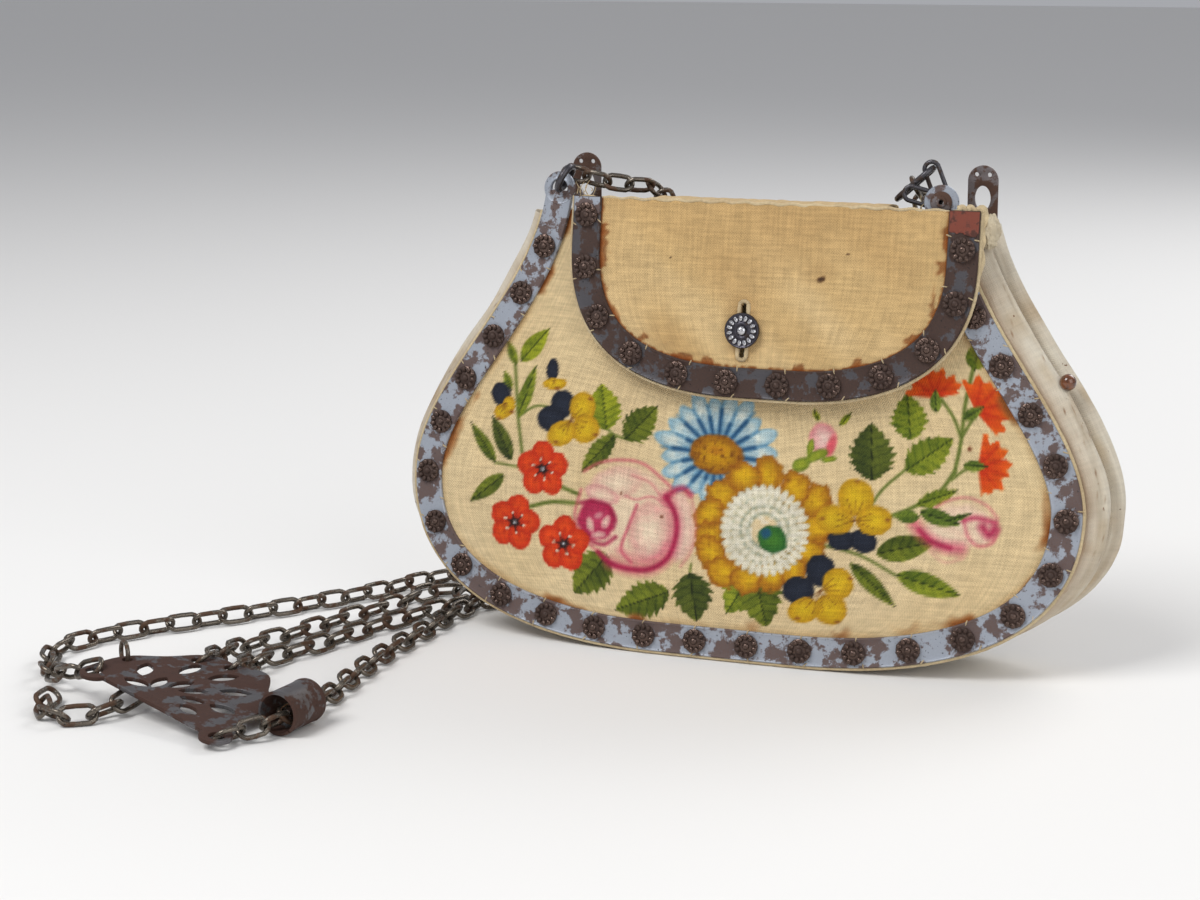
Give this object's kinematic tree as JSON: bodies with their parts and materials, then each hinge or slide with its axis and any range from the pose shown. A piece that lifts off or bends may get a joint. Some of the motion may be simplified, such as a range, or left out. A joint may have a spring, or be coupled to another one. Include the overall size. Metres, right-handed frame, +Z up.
{
  "type": "reticule",
  "caption": "Painted cloth reticule with steel-banded edges, a buttoned front flap, a pleated side strip and a loose link chain with a pierced fan-shaped hook plate.",
  "frame": {"origin": "on the table under the middle of the bag's flat base, at the front panel's middle across", "axes": "+Z up, -Y out of the front panel, +X to the viewer's right along the panel's width"},
  "size_m": [0.3004, 0.1944, 0.1476],
  "materials": {
    "painted_cloth": "plain-woven cream cloth with painted flowers, soiled",
    "tan_cloth": "plain-woven tan cloth, stained",
    "lining_cloth": "thin cream lining",
    "side_cloth": "off-white cloth with specks",
    "pale_steel": "worn steel with blue-grey patches and brown rust",
    "dark_steel": "dark steel with brown rust",
    "rust_steel": "rust-brown pressed steel",
    "bright_steel": "bright cut steel",
    "amber_bead": "brown polished bead"
  },
  "bodies": {
    "bag": {"front_panel": "painted_cloth", "back_panel": "painted_cloth", "front_lining": "lining_cloth", "back_lining": "lining_cloth", "lining_fold": "lining_cloth", "gusset": "side_cloth", "front_band": "pale_steel", "back_band": "pale_steel", "left_ear": "rust_steel", "right_ear": "rust_steel", "ear_rivets": "bright_steel", "front_rosettes": "rust_steel", "button_head": "dark_steel", "button_studs": "bright_steel", "button_shank": "dark_steel", "left_ring": "dark_steel", "right_post": "pale_steel", "corner_loops": "dark_steel", "corner_ring": "dark_steel", "chain_left": "dark_steel", "chain_right": "dark_steel", "chain_loop": "dark_steel", "chain_tail": "dark_steel", "hook_plate": "rust_steel", "plate_ring": "dark_steel", "rolled_collar": "rust_steel", "side_bead": "amber_bead"},
    "flap": {"flap_cloth": "tan_cloth", "flap_lining": "lining_cloth", "flap_band": "dark_steel", "flap_rosettes": "rust_steel", "buttonhole_lips": "lining_cloth"}
  },
  "joints": [
    {"name": "flap_hinge", "type": "hinge", "parent": "bag", "child": "flap", "pos_m": [0.0075, 0.01497, 0.13149], "axis": [-1, 0, 0], "range_deg": [0, 100]}
  ]
}
